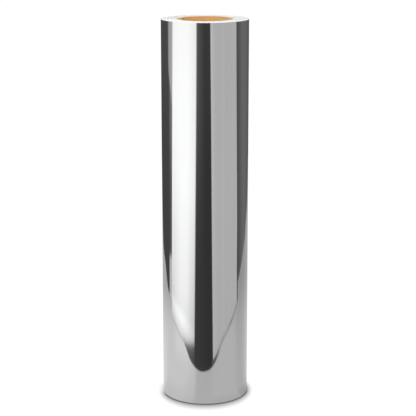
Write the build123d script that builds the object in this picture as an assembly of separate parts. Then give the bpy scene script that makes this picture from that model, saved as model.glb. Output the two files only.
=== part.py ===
from build123d import *

import os
from math import cos, degrees, sin

# A roll of mirror-finish adhesive foil, 24 inches wide, wound 130 laps deep on a
# spiral-wound paperboard core with a 3 inch bore, standing on one end.
# Frame: millimetres, +Z up along the core's axis, origin on that axis in the end
# face that the roll stands on.

# ---------------------------------------------------------------- driving sizes
web_width = 609.6           # slit width of the foil and its liner
bore_diameter = 76.2        # 3 inch winding-spindle bore

ply_count = 12              # paper strips glued on top of each other in the core
ply_thickness = 0.5

foil_thickness = 0.07       # metallised film and the adhesive on its back
liner_thickness = 0.12      # release paper that rides inside the foil
lap_count = 130             # turns of laminate on the core

tail_direction = 62.0       # degrees from +X to the outer end of the web

start_tape_width = 25.0     # around the core
start_tape_thickness = 0.16
start_tape_margin = 8.0     # kept back from both ends of the core

tab_length = 50.0           # around the roll, half on each side of the tail edge
tab_width = 24.0            # along the roll
tab_thickness = 0.05
tab_margin = 34.0           # from the roll's end to the middle of an end tab
tab_bridge = 2.0            # stretch of a tab that spans the step at the tail edge

# ---------------------------------------------------------------- worked-out sizes
core_length = web_width     # the core is sawn flush with both edges of the web
bore_radius = bore_diameter / 2
core_radius = bore_radius + ply_count * ply_thickness
lap_thickness = foil_thickness + liner_thickness
tail_radius = core_radius + lap_count * lap_thickness

# The web's outer face is a spiral made of half-turn arcs from two centres on the
# line through the tail edge. Each half turn is half a lap smaller than the last,
# so a full turn lies exactly one lap under the turn outside it.
centre_offset = lap_thickness / 4
first_centre = (centre_offset, 0)
second_centre = (-centre_offset, 0)
first_radius = tail_radius - centre_offset
second_radius = first_radius - lap_thickness / 2


def tube(inner_radius, outer_radius, length):
    """A plain round tube standing on the ground plane."""
    return extrude(Circle(outer_radius) - Circle(inner_radius), length)


def to_tail(shape):
    """Turns a shape drawn with the tail edge on +X to the tail's real direction."""
    return Rot(0, 0, tail_direction) * shape


def spiral_turn(depth):
    """One full turn of the web's face, lying the given depth under the outermost face."""
    return [
        CenterArc(first_centre, first_radius - depth, 0, 180),
        CenterArc(second_centre, second_radius - depth, 180, 180),
    ]


def core_ply(number):
    """One glued paper strip of the core, counted from the bore outwards."""
    inner_radius = bore_radius + (number - 1) * ply_thickness
    return tube(inner_radius, inner_radius + ply_thickness, core_length)


def start_tape():
    """Double-sided tape strip that holds the inner end of the web to the core."""
    half_angle = degrees(start_tape_width / core_radius / 2)
    outer_radius = core_radius + start_tape_thickness
    edges = [
        CenterArc((0, 0), core_radius, -half_angle, 2 * half_angle),
        CenterArc((0, 0), outer_radius, -half_angle, 2 * half_angle),
    ]
    ends = [Line(edges[0] @ end, edges[1] @ end) for end in (0, 1)]
    strip = extrude(make_face(edges + ends), core_length - 2 * start_tape_margin)
    return to_tail(Pos(0, 0, start_tape_margin) * strip)


def wound_laps():
    """All the laps under the outermost one, wound tight and resting on the core."""
    step = Line((tail_radius - 2 * lap_thickness, 0), (tail_radius - lap_thickness, 0))
    face = make_face(spiral_turn(lap_thickness) + [step]) - Circle(core_radius)
    return to_tail(extrude(face, web_width)) - start_tape()


def outer_lap_layer(outer_depth, inner_depth):
    """One layer of the outermost lap, from the tail edge round to where it runs on inside."""
    outer_edge, inner_edge = spiral_turn(outer_depth), spiral_turn(inner_depth)
    ends = [
        Line(inner_edge[0] @ 0, outer_edge[0] @ 0),
        Line(inner_edge[1] @ 1, outer_edge[1] @ 1),
    ]
    return to_tail(extrude(make_face(outer_edge + inner_edge + ends), web_width))


def tab_edge(lift):
    """A tab's outline over the tail edge, the given height above the foil's face."""
    half_angle = tab_length / tail_radius / 2
    bridge_angle = tab_bridge / tail_radius
    high, low = first_radius + lift, second_radius + lift
    foot = (second_centre[0] + low * cos(bridge_angle), -low * sin(bridge_angle))
    low_sweep = degrees(half_angle - bridge_angle)
    return [
        CenterArc(first_centre, high, 0, degrees(half_angle)),
        Line((tail_radius + lift, 0), foot),
        CenterArc(second_centre, low, -degrees(half_angle), low_sweep),
    ]


def tail_tab(height):
    """Clear tape tab that holds the tail edge down, centred at the given height."""
    under, over = tab_edge(0), tab_edge(tab_thickness)
    ends = [Line(under[0] @ 1, over[0] @ 1), Line(under[2] @ 0, over[2] @ 0)]
    strip = extrude(make_face(under + over + ends), tab_width)
    return to_tail(Pos(0, 0, height - tab_width / 2) * strip)


parts = {f"core_ply_{number:02d}": core_ply(number) for number in range(1, ply_count + 1)}
parts["start_tape"] = start_tape()
parts["wound_laps"] = wound_laps()
parts["outer_lap_liner"] = outer_lap_layer(foil_thickness, lap_thickness)
parts["outer_lap_foil"] = outer_lap_layer(0, foil_thickness)
parts["tail_tab_bottom"] = tail_tab(tab_margin)
parts["tail_tab_middle"] = tail_tab(web_width / 2)
parts["tail_tab_top"] = tail_tab(web_width - tab_margin)

os.makedirs("parts", exist_ok=True)
for name, shape in parts.items():
    export_step(shape, f"parts/{name}.step")
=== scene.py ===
from math import atan2, degrees, pi, radians, tau

import bmesh
import bpy
import numpy as np
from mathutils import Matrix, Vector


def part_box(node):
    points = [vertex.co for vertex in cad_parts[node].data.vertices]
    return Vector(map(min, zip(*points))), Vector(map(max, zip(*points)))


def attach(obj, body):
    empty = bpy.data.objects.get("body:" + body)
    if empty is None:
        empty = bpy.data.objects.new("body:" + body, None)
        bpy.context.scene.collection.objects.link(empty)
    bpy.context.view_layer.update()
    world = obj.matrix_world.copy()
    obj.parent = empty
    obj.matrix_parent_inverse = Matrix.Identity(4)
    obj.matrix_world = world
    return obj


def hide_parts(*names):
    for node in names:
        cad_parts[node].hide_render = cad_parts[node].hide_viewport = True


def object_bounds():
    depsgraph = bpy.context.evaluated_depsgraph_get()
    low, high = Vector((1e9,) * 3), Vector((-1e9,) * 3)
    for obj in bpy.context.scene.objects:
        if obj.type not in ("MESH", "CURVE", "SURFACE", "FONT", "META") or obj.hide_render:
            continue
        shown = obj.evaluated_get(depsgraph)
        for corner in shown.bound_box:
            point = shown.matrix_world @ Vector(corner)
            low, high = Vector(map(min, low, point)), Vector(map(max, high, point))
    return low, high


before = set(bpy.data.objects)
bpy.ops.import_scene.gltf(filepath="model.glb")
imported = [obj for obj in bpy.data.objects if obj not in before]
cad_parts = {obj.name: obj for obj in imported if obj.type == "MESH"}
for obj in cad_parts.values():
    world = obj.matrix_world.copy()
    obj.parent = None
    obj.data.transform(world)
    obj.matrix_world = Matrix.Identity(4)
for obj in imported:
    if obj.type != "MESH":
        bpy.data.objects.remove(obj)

cad_low, cad_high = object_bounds()


# ---------------------------------------------------------------- core strips
# The core is a stiff tube of kraft paper strips, glued one over another. Each strip
# is wound in a helix with its edges butted, and the finished tube is sawn to length,
# which leaves the end of every ply a little ragged and rounded.

roll_height = cad_high.z
mm = 0.001


def node_corners(node):
    """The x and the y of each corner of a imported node."""
    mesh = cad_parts[node].data
    corners = np.empty(len(mesh.vertices) * 3)
    mesh.vertices.foreach_get("co", corners)
    return corners.reshape(-1, 3).T[:2]


def from_axis(node):
    """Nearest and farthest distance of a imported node's corners from the roll's axis."""
    distance = np.hypot(*node_corners(node))
    return distance.min(), distance.max()


def around(angle, radius, height):
    """Points at an angle about the axis, a distance from it and a height, as one array."""
    angle, radius, height = np.broadcast_arrays(angle, radius, height)
    return np.stack([radius * np.cos(angle), radius * np.sin(angle), height], -1)


def grid_mesh(name, *sheets):
    """One mesh from sheets of points, each rows x columns x 3, welded where they meet.

    A quad's front is on the side that columns cross rows points to: rows that climb a wall
    whose columns run counter-clockwise face away from the axis.
    """
    quads, count = [], 0
    for sheet in sheets:
        rows, columns = sheet.shape[:2]
        first = count + np.arange(rows - 1)[:, None] * columns + np.arange(columns - 1)
        around_quad = [first, first + 1, first + columns + 1, first + columns]
        quads.append(np.stack(around_quad, -1).reshape(-1, 4))
        count += rows * columns
    corners = np.concatenate([sheet.reshape(-1, 3) for sheet in sheets])
    mesh = bpy.data.meshes.new(name)
    mesh.from_pydata(corners.tolist(), [], np.concatenate(quads).tolist())
    work = bmesh.new()
    work.from_mesh(mesh)
    bmesh.ops.remove_doubles(work, verts=work.verts, dist=1e-7)
    work.to_mesh(mesh)
    work.free()
    return mesh


def in_scene(name, content):
    """A new object in the scene, at the origin, that shows a mesh, a light or a camera."""
    thing = bpy.data.objects.new(name, content)
    bpy.context.scene.collection.objects.link(thing)
    return thing


def sew(name, *sheets, crease=30):
    """A riding piece from sheets of points, smooth except over edges sharper than the crease."""
    mesh = grid_mesh(name, *sheets)
    mesh.shade_smooth()
    mesh.set_sharp_from_angle(angle=radians(crease))
    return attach(in_scene(name, mesh), "root")


class Signal:
    """An output of a shader node. Python's signs on it add the Math nodes that work them out."""

    def __init__(self, finish, socket):
        self.finish = finish
        self.socket = socket

    def math(self, operation, *terms):
        return self.finish.node("Math", {"operation": operation}, dict(enumerate((self,) + terms)))

    def from_left(self, operation, term):
        return self.finish.node("Math", {"operation": operation}, {0: term, 1: self})

    def __add__(self, other):
        return self.math("ADD", other)

    def __sub__(self, other):
        return self.math("SUBTRACT", other)

    def __mul__(self, other):
        return self.math("MULTIPLY", other)

    def __truediv__(self, other):
        return self.math("DIVIDE", other)

    def __pow__(self, other):
        return self.math("POWER", other)

    def __rsub__(self, other):
        return self.from_left("SUBTRACT", other)

    def __rtruediv__(self, other):
        return self.from_left("DIVIDE", other)

    __radd__ = __add__
    __rmul__ = __mul__

    def rise(self, low, high):
        """0 below low, 1 above high and a smooth step between them."""
        sockets = {"Value": self, "From Min": low, "From Max": high}
        return self.finish.node("MapRange", {"interpolation_type": "SMOOTHSTEP"}, sockets)


class Finish:
    """A material and its shader, with the one way in which nodes are added to it."""

    def __init__(self, name, **constants):
        self.material = bpy.data.materials.new(name)
        self.material.use_nodes = True
        self.tree = self.material.node_tree
        self.shader = self.tree.nodes["Principled BSDF"]
        self.set(**constants)

    def feed(self, socket, value):
        """Links a signal to a socket, or puts a plain value on it."""
        if isinstance(value, Signal):
            self.tree.links.new(value.socket, socket)
        else:
            socket.default_value = value

    def set(self, **sockets):
        """Feeds the shader's sockets, named as Blender names them but with _ for a space."""
        for socket, value in sockets.items():
            self.feed(self.shader.inputs[socket.replace("_", " ")], value)

    def node(self, kind, settings=None, sockets=None, output=0):
        """One output of a new node of a kind, with its settings made before its sockets are fed."""
        made = self.tree.nodes.new("ShaderNode" + kind)
        for setting, value in (settings or {}).items():
            setattr(made, setting, value)
        for socket, value in (sockets or {}).items():
            self.feed(made.inputs[socket], value)
        return Signal(self, made.outputs[output])

    def place(self):
        """Object coordinates, in metres in the roll's own frame."""
        return self.node("TexCoord", output="Object")

    def parts(self, place):
        """The x, y and z of a place."""
        return [self.node("SeparateXYZ", {}, {0: place}, output) for output in range(3)]

    def stretched(self, place, x, y, z):
        return self.node("VectorMath", {"operation": "MULTIPLY"}, {0: place, 1: (x, y, z)})

    def noise(self, place, scale, detail, roughness):
        sockets = {"Vector": place, "Scale": scale, "Detail": detail, "Roughness": roughness}
        return self.node("TexNoise", {}, sockets)

    def mix(self, share, first, second):
        """A colour between two, as (r, g, b) or as signals: the first where share is 0."""
        pair = [c if isinstance(c, Signal) else (*c, 1.0) for c in (first, second)]
        return self.node("Mix", {"data_type": "RGBA"}, {0: share, 6: pair[0], 7: pair[1]}, 2)

    def bump(self, height, distance, strength=1.0):
        return self.node("Bump", {}, {"Height": height, "Distance": distance, "Strength": strength})


core_plies = sorted(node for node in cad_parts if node.startswith("core_ply"))
bore_radius = from_axis(core_plies[0])[0]
core_radius = from_axis(core_plies[-1])[1]
ply_thickness = (core_radius - bore_radius) / len(core_plies)

strip_lead = 112 * mm           # how far one turn of a strip climbs the core
seam_half_width = 0.35 * mm
seam_depth = 0.14 * mm
end_crown = 0.13 * mm           # how far a ply's rounded end falls from its middle to its faces
core_columns = 168
core_turn = np.linspace(0, tau, core_columns + 1)
ragged = np.random.default_rng(31)


def ragged_end():
    """How far a sawn ply stops short at each angle: a few random waves round the core."""
    waves = np.arange(1, 40)
    size = ragged.uniform(0, 1, len(waves)) / (2 + waves)
    start = ragged.uniform(0, tau, len(waves))
    wobble = (size[:, None] * np.sin(waves[:, None] * core_turn + start[:, None])).sum(0)
    return 0.16 * mm + 0.10 * mm * wobble / abs(wobble).max() + ragged.uniform(0, 0.06) * mm


def ply_wall(inner, outer, top, bottom):
    """A ply's outer wall and both rounded ends, as rows that start and stop at its inner wall.

    Across an end, the paper stands highest in its middle and falls off as half a sine wave does.
    """
    across = np.linspace(1, 0, 7)[:, None]
    radius = inner + (outer - inner) * across
    fall = end_crown * (1 - np.sin(pi * across))
    top_rows = around(core_turn, radius, top - fall)
    bottom_rows = around(core_turn, radius[::-1], bottom + fall[::-1])
    return np.concatenate([bottom_rows, top_rows])


def bore_strip(top, bottom):
    """The inmost strip's bare face: a helix as wide as its lead, trimmed level with both ends.

    A point's height is the lead times its turns plus its share of the strip's width, held
    between the two ends. Along both edges the paper falls away into the butted seam.
    """
    turns = int(np.ceil(roll_height / strip_lead)) + 1
    angle = np.linspace(-tau, (turns - 1) * tau, turns * core_columns + 1)
    edge = seam_half_width / strip_lead * np.array([0, 0.25, 0.5, 1, 2])
    share = np.concatenate([edge, np.linspace(0.1, 0.9, 9), 1 - edge[::-1]])[::-1, None]
    climb = strip_lead * (angle / tau + share)
    top_here = np.interp(angle % tau, core_turn, top)
    bottom_here = np.interp(angle % tau, core_turn, bottom)
    from_seam = np.minimum(share, 1 - share) * strip_lead
    inside = np.clip(np.minimum(top_here - climb, climb - bottom_here) / (2 * mm), 0, 1)
    groove = seam_depth * np.clip(1 - from_seam / seam_half_width, 0, 1) ** 2 * inside
    return around(angle, bore_radius + groove, np.clip(climb, bottom_here, top_here))


straw = np.array([0.780, 0.560, 0.300])


def kraft_board(name, pale):
    """Uncoated kraft paper, dull, with fibres lying round the core, pulp clouds and flecks.

    On the sawn ends the fibres stand open: the board is paler there and fuzzier, and the
    glue between two plies shows as a fine dark ring.
    """
    def tone(*colour):
        """A kraft colour pulled towards straw by this strip's paleness."""
        return tuple(np.array(colour) * (1 - pale) + straw * pale)

    board = Finish(name, Specular_IOR_Level=0.4)
    place = board.place()
    x, y, z = board.parts(place)
    radius = (x * x + y * y).math("SQRT")
    turned = y.math("ARCTAN2", x) / tau
    fibres = board.noise(board.stretched(place, 0.16, 0.16, 1.0), 3600, 4, 0.7)
    clouds = board.noise(board.stretched(place, 0.6, 0.6, 1.0), 130, 3, 0.6)
    flecks = board.noise(board.stretched(place, 0.5, 0.5, 1.0), 1500, 1, 0.4).rise(0.70, 0.78)
    chips = board.noise(board.stretched(place, 0.35, 0.35, 1.0), 900, 1, 0.4).rise(0.72, 0.80)
    wall = board.mix(fibres.rise(0.25, 0.78), tone(0.640, 0.352, 0.112), tone(0.895, 0.585, 0.245))
    wall = board.mix(clouds.rise(0.30, 0.72) * 0.45, wall, tone(0.740, 0.412, 0.135))
    wall = board.mix(flecks * 0.55, wall, tone(0.280, 0.130, 0.040))
    wall = board.mix(chips * 0.45, wall, tone(0.920, 0.740, 0.460))
    seam = ((z / strip_lead - turned).math("FRACT") - 0.5).math("ABSOLUTE")
    seam = seam.rise(0.5 - 1.6 * seam_half_width / strip_lead, 0.5)
    wall = board.mix(seam * 0.8, wall, tone(0.220, 0.100, 0.030))
    fuzz = board.noise(place, 5200, 3, 0.7)
    sawn = board.mix(fuzz.rise(0.25, 0.75), tone(0.480, 0.265, 0.095), tone(0.720, 0.460, 0.215))
    sawn = board.mix(clouds.rise(0.35, 0.7) * 0.4, sawn, tone(0.600, 0.360, 0.150))
    glue = (((radius - bore_radius) / ply_thickness).math("FRACT") - 0.5).math("ABSOLUTE")
    sawn = board.mix(glue.rise(0.36, 0.5) * 0.6, sawn, tone(0.200, 0.090, 0.030))
    half = roll_height / 2
    end = (z - half).math("ABSOLUTE").rise(half - 0.9 * mm, half - 0.35 * mm)
    relief = fibres * (1 - end) + fuzz * end
    board.set(Base_Color=board.mix(end, wall, sawn), Roughness=0.86 + fibres * 0.12,
              Normal=board.bump(relief, 0.09 * mm, 0.8))
    return board.material


kraft_finish = [kraft_board("kraft_board_dark", 0.0), kraft_board("kraft_board_light", 0.10)]
for number, node in enumerate(core_plies):
    inner = bore_radius + number * ply_thickness
    top = roll_height - ragged_end()
    bottom = ragged_end()
    wall = ply_wall(inner, inner + ply_thickness, top, bottom)
    if number:
        lining = np.stack([wall[-1], wall[0]])
    else:
        lining = bore_strip(top - end_crown, bottom + end_crown)
    strip = sew(node.replace("ply", "strip"), wall, lining, crease=50)
    strip.data.materials.append(kraft_finish[number % 2])
    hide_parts(node)


# ---------------------------------------------------------------- start tape
# A strip of double-sided tissue tape along the core holds the web's inner end. It is
# buried under the laps: a soft cream tissue with its adhesive soaked through it.

def tissue_tape():
    """Cream tissue with crossing long fibres and a slightly tacky sheen."""
    tape = Finish("double_sided_tape", Specular_IOR_Level=0.4)
    place = tape.place()
    fibres = tape.noise(tape.stretched(place, 1.0, 1.0, 0.2), 2600, 3, 0.7)
    cross = tape.noise(tape.stretched(place, 0.3, 0.3, 1.0), 2200, 2, 0.6)
    web = (fibres + cross) * 0.5
    tape.set(Base_Color=tape.mix(web.rise(0.35, 0.65), (0.700, 0.640, 0.480), (0.880, 0.850, 0.740)),
             Roughness=0.45 + web * 0.3, Normal=tape.bump(web, 0.03 * mm))
    return tape.material


start_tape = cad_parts["start_tape"]
start_tape.data.materials.clear()
start_tape.data.materials.append(tissue_tape())


# ---------------------------------------------------------------- wound laps
# Under the last turn lie all the other turns of foil and white release liner, wound
# tight as one long spiral. Their slit edges make the two flat ends of the roll: the
# liner stands a hair proud of the foil, and each turn wanders a little along the core.

tail_radius = from_axis("outer_lap_foil")[1]
lap_thickness = tail_radius - from_axis("wound_laps")[1]
foil_thickness = tail_radius - from_axis("outer_lap_liner")[1]
foil_share = foil_thickness / lap_thickness


def tail_angle():
    """Direction of the web's outer end: that of the foil's corner farthest from the axis."""
    x, y = node_corners("outer_lap_foil")
    farthest = np.argmax(np.hypot(x, y))
    return atan2(y[farthest], x[farthest])


tail = tail_angle()


def web_radius(laps, depth=0.0):
    """Distance from the axis to the web's face, a number of laps in from the tail edge.

    The face sinks evenly by one lap's thickness in each turn.
    """
    return tail_radius - lap_thickness * laps - depth


wander = np.random.default_rng(7)
wander_rate = np.concatenate([wander.uniform(0.01, 0.06, 4), wander.uniform(0.3, 3.3, 9)])
wander_size = np.concatenate([np.full(4, 1.0), np.full(9, 0.34)])
wander_start = wander.uniform(0, tau, len(wander_rate))
wander_limit = 0.16 * mm
foil_groove = 0.06 * mm         # how far the foil's edge lies below the liner's


def edge_drop(laps):
    """How far the web's slit edge lies below the roll's end: slow and quick waves along the web."""
    laps = np.asarray(laps)[..., None]
    waves = (wander_size * np.sin(tau * wander_rate * laps + wander_start)).sum(-1)
    return wander_limit * (0.5 + 0.5 * np.tanh(waves / 1.6))


def lap_ends(columns=112):
    """Rows of the wound laps' end, from the outside inwards: laps in, and the drop at each point.

    Each lap has three rows: a groove over the foil's edge and a flat on the liner's. The
    rows stop at the core, where the last of them run together.
    """
    turned = np.linspace(0, 1, columns + 1)
    whole = round((web_radius(1) - core_radius) / lap_thickness)
    step = np.array([0, foil_share / 2, foil_share])
    rows = np.append((np.arange(whole)[:, None] + step).ravel(), whole)[:, None]
    rows = np.minimum(rows, whole - turned)
    within = rows % 1
    depth = foil_groove * np.clip(1 - abs(within - foil_share / 2) / (foil_share / 2), 0, 1)
    laps = 1 + rows + turned
    return turned, laps, edge_drop(laps) + depth


def wound_edges():
    """The slit ends and the walls of a wound web: white paper edges, each with a grey foil line.

    The tint is a noise that is read at the lap's number and at the share of a turn, so each
    lap has a white of its own that drifts slowly round the roll.
    """
    edge = Finish("wound_edges", Specular_IOR_Level=0.25)
    place = edge.place()
    x, y = edge.parts(place)[:2]
    radius = (x * x + y * y).math("SQRT")
    turned = ((y.math("ARCTAN2", x) - tail) / tau).math("FRACT")
    lap = (tail_radius - radius) / lap_thickness - turned
    within = lap.math("FRACT")
    foil_line = (within - foil_share / 2).math("ABSOLUTE").rise(foil_share * 0.3, foil_share * 0.62)
    grain = edge.noise(place, 3800, 3, 0.65)
    drift = edge.noise(edge.stretched(place, 1.0, 1.0, 0.02), 95, 3, 0.6)
    lap_stride, turn_stride = 0.173, 3.0
    ring = edge.node("CombineXYZ", {}, {0: (lap - within) * lap_stride, 1: turned * turn_stride})
    tint = edge.noise(ring, 4.0, 2, 0.6)
    paper = edge.mix(grain.rise(0.2, 0.8), (0.825, 0.823, 0.818), (0.900, 0.899, 0.895))
    paper = edge.mix(tint.rise(0.3, 0.75) * 0.3, paper, (0.760, 0.758, 0.750))
    paper = edge.mix(drift.rise(0.45, 0.75) * 0.2, paper, (0.760, 0.742, 0.700))
    colour = edge.mix(foil_line, (0.600, 0.600, 0.605), paper)
    edge.set(Base_Color=colour, Metallic=(1 - foil_line) * 0.35, Roughness=0.62 + grain * 0.25,
             Normal=edge.bump(grain + tint, 0.05 * mm, 0.7))
    return edge.material


pocket_reach = 17.5 / 360       # half the start tape's width and a margin, in turns
pocket_end = 0.5 * mm           # how much of the roll's length the pocket takes to open or close
tape_clearance = 0.01 * mm


def inner_lap_pocket(turned):
    """How far the inmost lap lies off the core: it lifts over the start tape along the tail's line."""
    over_tape = np.minimum(turned, 1 - turned) < pocket_reach
    return over_tape * (from_axis("start_tape")[1] - core_radius + tape_clearance)


turned, laps, drop = lap_ends()
angle = tail + tau * turned
radius = web_radius(laps)
top_end = around(angle, radius, roll_height - drop)
bottom_end = around(angle, radius, drop)[::-1]
outer_wall = np.stack([bottom_end[-1], top_end[0]])
pocket_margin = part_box("start_tape")[0].z - 1 * mm
pocket_rows = np.array([roll_height - pocket_margin, roll_height - pocket_margin - pocket_end,
                        pocket_margin + pocket_end, pocket_margin])[:, None]
pocket_depth = inner_lap_pocket(turned) * np.array([0, 1, 1, 0])[:, None]
bore_rows = around(angle, core_radius + pocket_depth, pocket_rows)
inner_wall = np.concatenate([top_end[-1:], bore_rows, bottom_end[:1]])
# The step that the last turn leaves is one lap high: the first four rows of each end.
first_lap = slice(3, None, -1)
step_wall = np.stack([bottom_end[::-1][first_lap, 0], top_end[first_lap, 0]])
wound_laps = sew("wound_lap_edges", outer_wall, top_end, inner_wall, bottom_end, step_wall)
wound_laps.data.materials.append(wound_edges())
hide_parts("wound_laps")


# ---------------------------------------------------------------- outermost lap of liner
# The release liner is smooth white calendered paper, and rides inside the foil all the
# way. Of its last turn only the slit edges and the cut end at the tail ever show.

def closed_layer(name, face, back):
    """A riding piece of thin sheet, from its outer face and its back, with its four edges closed."""
    top = np.stack([face[-1], back[-1]])
    bottom = np.stack([back[0], face[0]])
    start = np.stack([back[:, 0], face[:, 0]], 1)
    finish = np.stack([face[:, -1], back[:, -1]], 1)
    return sew(name, face, top, back[::-1], bottom, start, finish)


def lap_layer(name, columns, rows, outer_depth, inner_depth, shy):
    """A closed layer of the last turn, between two depths that may change over its face.

    Each depth is a function of the turn and the height. The ends are the wandering slit
    edge, and stop short of the roll's end by a further shy distance.
    """
    turned = np.linspace(0, 1, columns + 1)
    angle = tail + tau * turned
    drop = edge_drop(turned) + shy
    height = drop + (roll_height - 2 * drop) * np.linspace(0, 1, rows + 1)[:, None]
    outer = around(angle, web_radius(turned, outer_depth(angle, height)), height)
    inner = around(angle, web_radius(turned, inner_depth(angle, height)), height)
    return closed_layer(name, outer, inner)


def release_paper():
    """Smooth white calendered paper with a silicone sheen and a very faint cloudy look-through."""
    paper = Finish("release_liner", Specular_IOR_Level=0.5)
    place = paper.place()
    clouds = paper.noise(place, 420, 3, 0.6)
    grain = paper.noise(place, 5200, 2, 0.6)
    paper.set(Base_Color=paper.mix(clouds.rise(0.3, 0.7), (0.740, 0.735, 0.715), (0.840, 0.838, 0.825)),
              Roughness=0.38 + grain * 0.12, Normal=paper.bump(grain, 0.01 * mm, 0.5))
    return paper.material


tab_names = ("tail_tab_bottom", "tail_tab_middle", "tail_tab_top")
tab_heights = np.array([(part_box(node)[0].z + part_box(node)[1].z) / 2 for node in tab_names])
tail_lift = 0.42 * mm           # how far the cut end stands off at most
tail_curl = 13 * mm             # how much of the web, back from its cut end, leaves the roll
held_by_tab = 17 * mm           # from a tab's middle to where the web starts to lift
lift_run = 60 * mm              # from there to where it lifts all the way


def loose_end(angle, height):
    """How far the web's cut end stands off the roll between the tape tabs that hold it down.

    It grows as a square towards the cut, and as a smooth step away from the nearest tab.
    """
    from_tab = abs(np.asarray(height)[..., None] - tab_heights).min(-1)
    free = np.clip((from_tab - held_by_tab) / lift_run, 0, 1)
    to_cut = np.clip(1 - (angle - tail) * tail_radius / tail_curl, 0, 1)
    return tail_lift * free ** 2 * (3 - 2 * free) * to_cut ** 2


liner_lap = lap_layer("liner_last_lap", 480, 70,
                      lambda angle, height: foil_thickness - loose_end(angle, height),
                      lambda angle, height: lap_thickness - loose_end(angle, height), 0.0)
liner_lap.data.materials.append(release_paper())
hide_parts("outer_lap_liner")


# ---------------------------------------------------------------- outermost lap of foil
# The foil is clear film, metallised to a silver mirror, with adhesive on its back. It
# lies almost truly round: winding tension leaves long, very shallow ripples, and
# handling leaves the faintest haze, hairlines and scuffs near both ends.

ripple_height = 0.020 * mm
liner_proud = 0.04 * mm         # how far the liner's edge stands out past the foil's


def foil_face(angle, height):
    """Depth of the foil's bright face: four sets of long shallow ripples that lean a little.

    Each set is a sine of so many waves round the roll, shifted as the height changes.
    """
    ripple = (0.30 * np.sin(7 * angle + 6.0 * height + 0.4)
              + 0.26 * np.sin(13 * angle - 9.5 * height + 2.1)
              + 0.20 * np.sin(22 * angle + 14.0 * height + 4.0)
              + 0.24 * np.sin(4 * angle + 17.0 * height + 1.2))
    return 0.030 * mm + ripple_height * ripple


def mirror_film():
    """Silver mirror film, its roughness lifted a touch by haze, hairlines and end scuffs."""
    film = Finish("mirror_foil", Metallic=1.0)
    place = film.place()
    z = film.parts(place)[2]
    haze = film.noise(film.stretched(place, 1.0, 1.0, 0.3), 22, 4, 0.6)
    peel = film.noise(place, 260, 2, 0.5)
    hairlines = film.noise(film.stretched(place, 0.02, 0.02, 1.0), 5200, 2, 0.6).rise(0.62, 0.78)
    from_end = roll_height / 2 - (z - roll_height / 2).math("ABSOLUTE")
    worn = 1 - from_end.rise(0.0, 9 * mm)
    scuffs = film.noise(film.stretched(place, 1.0, 1.0, 0.35), 900, 3, 0.7).rise(0.5, 0.75) * worn
    tone = film.mix(haze.rise(0.35, 0.75), (0.930, 0.932, 0.938), (0.905, 0.908, 0.912))
    film.set(Base_Color=film.mix(scuffs * 0.35, tone, (0.780, 0.785, 0.790)),
             Roughness=0.045 + haze * 0.03 + hairlines * 0.03 + scuffs * 0.18,
             Normal=film.bump(peel + haze * 6.0, 0.004 * mm, 1.0))
    return film.material


foil_lap = lap_layer("foil_last_lap", 600, 70,
                     lambda angle, height: foil_face(angle, height) - loose_end(angle, height),
                     lambda angle, height: foil_thickness - loose_end(angle, height), liner_proud)
foil_lap.data.materials.append(mirror_film())
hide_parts("outer_lap_foil")


# ---------------------------------------------------------------- tail tabs
# Three short tabs of glossy clear tape hold the web's outer end down. Each was torn off
# on a toothed blade, so both its ends are a row of fine points, and it bridges the step
# that the end of the web makes.

tooth_pitch = 1.3 * mm
tooth_depth = 0.55 * mm
bridge_length = 2.0 * mm


def tab_span():
    """Half the angle that a tab covers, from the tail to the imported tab's last corner past it."""
    x, y = node_corners("tail_tab_top")
    turned = (np.arctan2(y, x) - tail) % tau
    return turned[turned < pi].max()


def clear_tab(name, node):
    """A tab between its under and upper face, torn to points where it starts and stops.

    Its height above the foil is the tape's thickness, a little less in shallow waves along
    it. The teeth are a triangle wave down the torn edge.
    """
    low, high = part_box(node)
    height = np.linspace(low.z, high.z, 1 + 2 * round((high.z - low.z) / tooth_pitch))[:, None]
    tooth = tooth_depth / tail_radius * (np.arange(len(height)) % 2)[:, None]
    share = np.linspace(0, 1, 81)
    reach = tab_span()
    turned = -reach + tooth + (2 * reach - 2 * tooth) * share
    bridge = bridge_length / tail_radius
    keys = np.array([-reach, -bridge, 0, reach])
    under = np.interp(turned, keys, web_radius(np.where(keys < 0, 1 + keys / tau, keys / tau)))
    thickness = from_axis(node)[1] - tail_radius
    upper = under + thickness * (0.94 + 0.06 * np.sin(9 * tau * share))
    face = around(tail + turned, upper, height)
    back = around(tail + turned, under, height)
    return closed_layer(name, face, back)


def clear_tape():
    """Clear glossy film tape: all but unseen, with small trapped air bubbles and faint streaks."""
    tape = Finish("clear_tape", Specular_IOR_Level=0.6, Base_Color=(0.870, 0.872, 0.860, 1.0))
    place = tape.place()
    bubbles = tape.noise(place, 1300, 2, 0.5).rise(0.60, 0.70)
    streaks = tape.noise(tape.stretched(place, 0.15, 0.15, 1.0), 900, 2, 0.6)
    tape.set(Alpha=0.035 + bubbles * 0.16 + streaks * 0.06, Roughness=0.10 + streaks * 0.12,
             Normal=tape.bump(streaks + bubbles, 0.01 * mm, 0.5))
    return tape.material


tape_finish = clear_tape()
for node in tab_names:
    tab = clear_tab(node.replace("tail_tab", "clear_tab"), node)
    tab.data.materials.append(tape_finish)
    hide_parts(node)


# ---------------------------------------------------------------- table and floor
# A white floor glows evenly and carries the roll's soft contact shadow, painted on it. What
# the mirror foil shows is a separate, smaller table with rounded corners, a glow painted
# with the light and shade of white laminate. The edge band along its front glows too,
# dark on the right and almost as pale as the table at the left corner.

def set_out(name, mesh, material, *rays):
    """Stages a mesh in one material, and leaves it visible to the named kinds of ray alone."""
    thing = in_scene(name, mesh)
    mesh.materials.append(material)
    for kind in ("camera", "diffuse", "glossy", "transmission", "volume_scatter", "shadow"):
        setattr(thing, "visible_" + kind, kind in rays)


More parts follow.
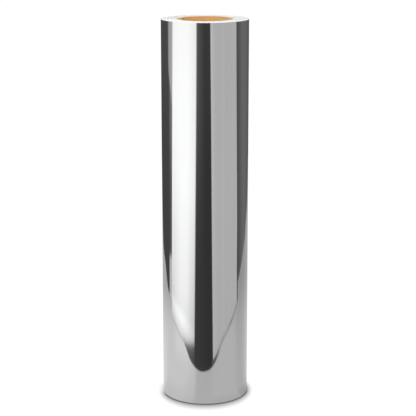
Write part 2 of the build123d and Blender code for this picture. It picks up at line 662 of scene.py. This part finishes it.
def flat_mesh(name, outline, height=0.0):
    """A level face inside an outline of (x, y) points."""
    mesh = bpy.data.meshes.new(name)
    mesh.from_pydata([(x, y, height) for x, y in outline], [], [tuple(range(len(outline)))])
    return mesh


def rounded(corners, steps=12):
    """Points round an outline whose corners, given as (x, y, radius), are replaced by arcs.

    An arc is the blend of its two tangent points and its corner: a quadratic curve.
    """
    corners = np.array(corners)
    tip, radius = corners[:, :2], corners[:, 2:]
    back, ahead = np.roll(tip, 1, 0) - tip, np.roll(tip, -1, 0) - tip
    start = tip + radius * back / np.linalg.norm(back, axis=1, keepdims=True)
    end = tip + radius * ahead / np.linalg.norm(ahead, axis=1, keepdims=True)
    share = np.linspace(0, 1, steps)[:, None, None]
    arcs = (1 - share) ** 2 * start + 2 * share * (1 - share) * tip + share ** 2 * end
    return arcs.swapaxes(0, 1).reshape(-1, 2).tolist()


class Glow(Finish):
    """A staged surface that only gives off grey light, of a level worked out over it."""

    def __init__(self, name):
        super().__init__(name)
        self.x, self.y, self.z = self.parts(self.place())
        self.away = (self.x * self.x + self.y * self.y).math("SQRT")
        # Degrees to the right of the camera's side, seen from the roll.
        self.bearing = self.x.math("ARCTAN2", self.y * -1.0) * (180 / pi)
        self.aside = self.bearing.math("ABSOLUTE")

    def give(self, level):
        """The finished material, giving off the level."""
        light = self.node("Emission", {}, {"Color": level})
        self.feed(self.tree.nodes["Material Output"].inputs["Surface"], light)
        return self.material


white = 1.03                    # the level of the floor and of the white light from all sides


def floor_painted_shadow_glow():
    """An evenly bright white floor that glows, with a painted shadow: darker in a soft pool round the
    roll that spreads to the front.

    A narrower, deeper painted shadow line lies where the roll stands. Both fade on the left, where
    painted light from the softbox falls on the floor, and a little on the right.
    """
    floor = Glow("floor_painted_shadow")
    front = ((floor.y * -1.0 / floor.away).math("MAXIMUM", 0.0)) ** 2.0
    gap = (floor.away - tail_radius) / (0.33 + 0.67 * front)
    # Painted shadow: pool and line are the roll's contact shadow painted on the floor; the lit factors
    # thin it as painted light on the left and right.
    pool = 1 - gap.rise(-13 * mm, 35 * mm)
    line = 1 - gap.rise(1 * mm, 8 * mm)
    lit_left = 1 - 0.62 * (floor.bearing * -1.0).rise(62.0, 88.0)
    lit_right = 1 - 0.22 * floor.bearing.rise(72.0, 92.0)
    return floor.give(white - (pool * 0.97 + line * 0.17) * (lit_left * lit_right))


floor_mesh = flat_mesh("floor", [(-9, -9), (9, -9), (9, 9), (-9, 9)])
set_out("floor", floor_mesh, floor_painted_shadow_glow(), "camera", "diffuse", "shadow")


def table_painted_glow():
    """Painted light and shade of white laminate: brighter to the left where it faces the softbox, dimmer
    far off, and darker close to the roll in a painted shadow.

    turned is the bearing in which a ray from the camera's side leaves the foil for a place:
    the place's own bearing, and more the nearer it is, by the roll's radius over its distance.
    Bearings are in degrees and distances from the axis in metres, as is all of the staging.
    """
    table = Glow("table_painted_light")
    shift = degrees(tail_radius) / table.away * (table.aside * (pi / 360)).math("SINE")
    aside = table.aside + shift
    turned = table.bearing + table.bearing.math("SIGN") * shift
    left = (1 - turned.rise(-32.0, -19.0)) * (1 - 0.35 * turned.rise(-62.0, -33.0))
    right = turned.rise(12.0, 26.0)
    rear_right = turned.rise(84.0, 100.0)
    behind = aside.rise(112.0, 152.0)
    rear_left = behind * (1 - turned.rise(-1.0, 1.0)) * (1 - table.away.rise(0.60, 0.72))
    straight_behind = turned.rise(138.0, 156.0)
    far = table.away.rise(0.34, 0.75)
    # Painted shadow of the roll: near darkens the left close to it, and contact the right and the rear
    # right.
    near = left * (1 - behind) * (1 - table.away.rise(0.07, 0.16))
    contact = 1 - table.away.rise(0.070, 0.108)
    front_left = left * table.away.rise(0.20, 0.36) * (1 - aside.rise(75.0, 105.0))
    level = 0.436 + left * 0.156 + right * 0.024 - rear_right * 0.030 + behind * 0.11 + front_left * 0.09
    level = level - rear_left * table.away.rise(0.16, 0.44) * 0.085 + straight_behind * 0.045
    level = level + left * (1 - aside.rise(45.0, 60.0)) * table.away.rise(0.14, 0.24) * 0.045
    level = level * (1 - far * (0.27 + left * 0.14))
    level = level * (1 - rear_right * table.away.rise(0.16, 0.40) * 0.06)
    level = level * (1 - near * 0.09 - contact * (right * 0.09 + rear_right * 0.10))
    return table.give(level)


# The table's corners, counter-clockwise from the left front one, each (x, y, radius).
front_edge = [(-0.415, -0.100, 0.09), (-0.262, -0.222, 0.05), (-0.03, -0.212, 0.05),
              (0.045, -0.222, 0.03), (0.245, -0.272, 0.07), (0.40, -0.180, 0.05)]
right_edge = [(0.55, -0.01, 0.03), (0.575, 0.045, 0.02), (0.71, 0.065, 0.03), (0.765, 0.25, 0.08),
              (0.79, 0.47, 0.10), (0.78, 0.60, 0.06), (0.755, 0.72, 0.06), (0.76, 0.94, 0.10),
              (0.62, 1.27, 0.20), (0.48, 1.98, 0.05)]
left_edge = [(-0.38, 1.98, 0.05), (-0.48, 0.84, 0.10), (-0.63, 0.54, 0.10), (-0.58, 0.28, 0.10),
             (-0.59, 0.06, 0.03), (-0.478, 0.045, 0.02)]
table_mesh = flat_mesh("table", rounded(front_edge + right_edge + left_edge))
set_out("table", table_mesh, table_painted_glow(), "glossy")


def rim_glow():
    """The table's edge band, a glow of painted levels: dark on the right, darkest near the roll, and
    pale on the left.
    """
    rim = Glow("table_rim")
    right = 0.31 - (1 - rim.away.rise(0.26, 0.35)) * 0.23 - rim.away.rise(0.42, 0.47) * 0.09
    return rim.give(0.42 + rim.x.rise(-0.05, 0.05) * (right - 0.42))


# Each band is a flat face just under the table that shows past the table's own outline.
rim_width = 24 * mm
rim_drop = -1 * mm
rim_right = [(0.07, -0.225, 0.002), (0.07, -0.233 - rim_width, 0.002),
             (0.245 + 0.3 * rim_width, -0.272 - rim_width, 0.07),
             (0.40 + rim_width, -0.180 - 0.5 * rim_width, 0.05),
             (0.55 + rim_width, -0.01, 0.03), (0.56, 0.02, 0.002), (0.50, 0.0, 0.002)]
rim_left = [(-0.47, 0.05, 0.002), (-0.490, 0.046, 0.002), (-0.425, -0.110, 0.09),
            (-0.272, -0.228, 0.002), (-0.27, -0.20, 0.002)]
rim_material = rim_glow()
for name, outline in (("table_rim_right", rim_right), ("table_rim_left", rim_left)):
    set_out(name, flat_mesh(name, rounded(outline), rim_drop), rim_material, "glossy")


# ---------------------------------------------------------------- studio
# The room is dim, so the foil shows dark between the panels that stand round the roll:
# a tall softbox on the left, a grey reflector on the right and darker flats behind.
# Even white light from all sides lights the paper, and the floor glows as brightly.

def laid_over(level, panel, own):
    """The level with a panel in front of it: the panel's own level over the panel's share."""
    return level * (1 - panel) + panel * own


def studio_glow():
    """The studio's walls as the foil sees them, by bearing and height, painted as one glow: the softbox,
    the lit reflector, its spill and the shade between them.

    The panels lean, so the gaps between them widen downwards: reach is how far round a
    place would be at table height. All the panels stand a fiftieth taller and 9 mm higher
    than their heights below say.
    """
    wall = Glow("studio_wall")
    z, bearing, aside = wall.z * 0.98 - 0.009, wall.bearing, wall.aside
    reach = aside + z * (6.4 + aside * 0.047)
    left = 1 - bearing.rise(-1.0, 1.0)
    right = 1 - left

    # The dim room in front, with painted spill light from the softbox on it.
    room = 0.032 + 0.009 * z.rise(-0.10, 0.35) + aside.rise(60.0, 100.0) * 0.024
    spill = (1 - (bearing + z * 6.9).rise(-24.0, 5.0)) * (1 - aside.rise(40.0, 70.0))
    level = room + spill * (0.008 + 0.048 * z.rise(-0.40, 0.42))
    low = 1 - z.rise(-0.600, -0.540)
    level = level + spill * low * aside.rise(24.0, 36.0) * 0.03

    # The softbox on the left: dimmer along both upright sides and towards its hem, with a
    # bright fold in the cloth above the hem.
    hem = z - (aside - 48.0).math("MAXIMUM", 0.0) * 0.0007
    softbox = left * (reach - z * z * 2.0).rise(21.8, 26.1) * (1 - reach.rise(95.6, 96.8))
    softbox = softbox * hem.rise(-0.580, -0.563)
    inner_side = (0.115 + 0.170 * (1 - z.rise(-0.46, -0.06))) * (1 - reach.rise(23.0, 50.0))
    outer_side = (0.04 + 0.12 * (1 - z.rise(-0.30, 0.15))) * aside.rise(62.0, 94.0)
    outer_side = outer_side + aside.rise(84.0, 96.0) * (1 - z.rise(-0.46, -0.28)) * 0.10
    middle = (1 - inner_side) * (1 - outer_side)
    down = (0.90 + 0.10 * z.rise(-0.42, -0.05)) * (0.78 + 0.22 * z.rise(-0.60, -0.38))
    up = 1 - 0.05 * z.rise(0.18, 0.50)
    above_fold = z + 0.528 - (aside - 40.0) * 0.0014
    fold = above_fold.rise(-0.055, 0.0) * (1 - above_fold.rise(0.0, 0.035))
    fold = fold * (0.18 + 0.06 * aside.rise(50.0, 66.0))
    level = laid_over(level, softbox, 1.055 * middle * (down + fold) * up)

    # The grey reflector on the right, its lit face painted as glow, faintly creased and painted paler
    # along its near side.
    folds = wall.noise(wall.stretched(wall.place(), 2.6, 2.6, 0.5), 1.0, 3, 0.6)
    far_side = (reach + 2.4 * (1 - z.rise(-0.36, -0.17))).rise(91.8, 93.2)
    card = right * reach.rise(15.9, 17.3) * (1 - far_side)
    edge_light = (1 - reach.rise(17.0, 32.0)) * (0.030 + 0.032 * z.rise(-0.45, -0.20))
    dusk = 0.012 * (1 - z.rise(-0.30, -0.08)) * reach.rise(28.0, 42.0)
    level = laid_over(level, card, 0.409 + folds * 0.076 + edge_light - dusk)

    # The dark flat beyond it, and behind the roll.
    flat = right * far_side
    shade = 0.074 + 0.060 * reach.rise(92.0, 120.0) - 0.036 * reach.rise(126.0, 160.0)
    level = laid_over(level, flat, shade)

    # A dim strip behind the softbox, brighter above and below.
    strip = left * reach.rise(95.6, 96.8) * (1 - aside.rise(109.4, 111.2))
    climb = z - 0.180 - (aside - 98.0) * 0.007
    upper = climb.rise(-0.012, 0.012)
    lower = 1 - z.rise(-0.312, -0.298)
    dim = 0.060 + (1 - aside.rise(97.0, 112.0)) * (0.045 + 0.09 * z.rise(-0.15, 0.15))
    tone = dim + upper * 0.205 + lower * 0.40
    level = laid_over(level, strip, tone)

    # A glow high up, straight behind.
    glow = aside.rise(146.0, 152.0) * z.rise(0.46, 0.62)
    return wall.give(level + glow * 0.72)


wall_distance = 2.0
room_radius = 3.4
wall_rows = around(np.linspace(-pi, pi, 145) - pi / 2, wall_distance, np.array([-1.0, 2.6])[:, None])
set_out("studio_wall", grid_mesh("studio_wall", wall_rows), studio_glow(), "glossy")

room_mesh = bpy.data.meshes.new("dark_room")
work = bmesh.new()
bmesh.ops.create_icosphere(work, subdivisions=4, radius=room_radius)
work.to_mesh(room_mesh)
work.free()
set_out("dark_room", room_mesh, Glow("dark_room").give((0.047, 0.047, 0.047, 1.0)), "glossy")

world = bpy.data.worlds.new("white_dome")
world.use_nodes = True
world.node_tree.nodes["Background"].inputs["Color"].default_value = (1.0, 1.0, 1.0, 1.0)
world.node_tree.nodes["Background"].inputs["Strength"].default_value = white
bpy.context.scene.world = world

# A wide soft light from above on the left, which the foil doesn't show, shades the bore.
key = bpy.data.lights.new("left_key", "AREA")
key.shape = "DISK"
key.size = 0.9
key.energy = 11.0
key_light = in_scene("left_key", key)
key_light.location = (-0.62, -1.00, 1.90)
key_light.rotation_euler = (radians(38), radians(-24), 0)
key_light.visible_glossy = False
key_light.visible_camera = False


# ---------------------------------------------------------------- camera
# A long lens looks a little down at the roll from above its top, level with its left and
# right, so that the core's bore and the wound edges show as a narrow ring.

camera = bpy.data.cameras.new("camera")
camera.lens = 116.22
camera.sensor_width = 36.0
camera.clip_end = 60.0
viewer = in_scene("camera", camera)
viewer.location = (0.0047, -2.0959, 0.8079)
viewer.rotation_euler = (radians(90 - 13.431), 0, 0)
bpy.context.scene.camera = viewer
bpy.context.scene.view_settings.view_transform = "Standard"
